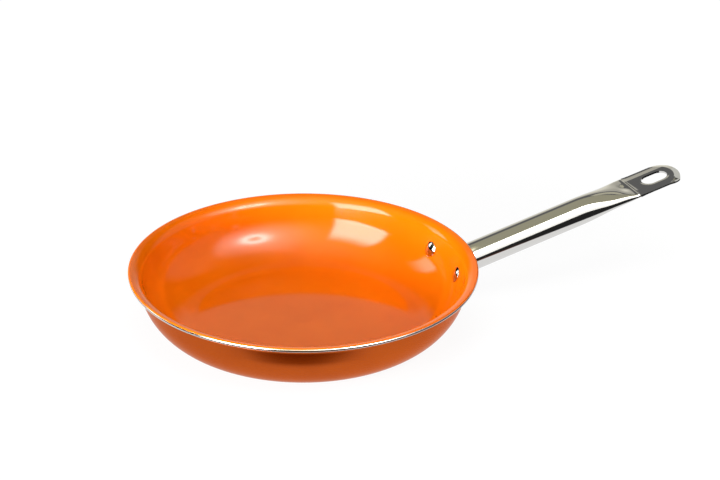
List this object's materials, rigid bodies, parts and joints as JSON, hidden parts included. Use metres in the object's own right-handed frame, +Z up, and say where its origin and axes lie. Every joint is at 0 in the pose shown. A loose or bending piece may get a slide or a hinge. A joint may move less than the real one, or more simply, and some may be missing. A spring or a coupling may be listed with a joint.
{
  "type": "frying pan",
  "caption": "Round copper-coloured frying pan with a flared rim, glossy non-stick inside and a riveted steel tube handle pressed flat at its end around a hanging slot.",
  "frame": {"origin": "centre of the underside, on the pan's axis and in the plane it stands on", "axes": "+Z up along the pan's axis, +X from that axis towards the handle's tip, so the XZ plane mirrors the pan"},
  "size_m": [0.4461, 0.26, 0.0777],
  "materials": {
    "bare_aluminium": "polished",
    "orange_nonstick": "gloss",
    "copper_lacquer": "gloss",
    "base_steel": "satin",
    "handle_steel": "polished",
    "weld_steel": "satin",
    "rivet_steel": "polished"
  },
  "bodies": {
    "root": {"pan_body": "bare_aluminium", "nonstick_lining": "orange_nonstick", "outer_lacquer": "copper_lacquer", "base_plate": "base_steel", "handle_bracket": "handle_steel", "handle_tube": "handle_steel", "handle_weld": "weld_steel", "rivet_left": "rivet_steel", "rivet_right": "rivet_steel"}
  },
  "joints": []
}
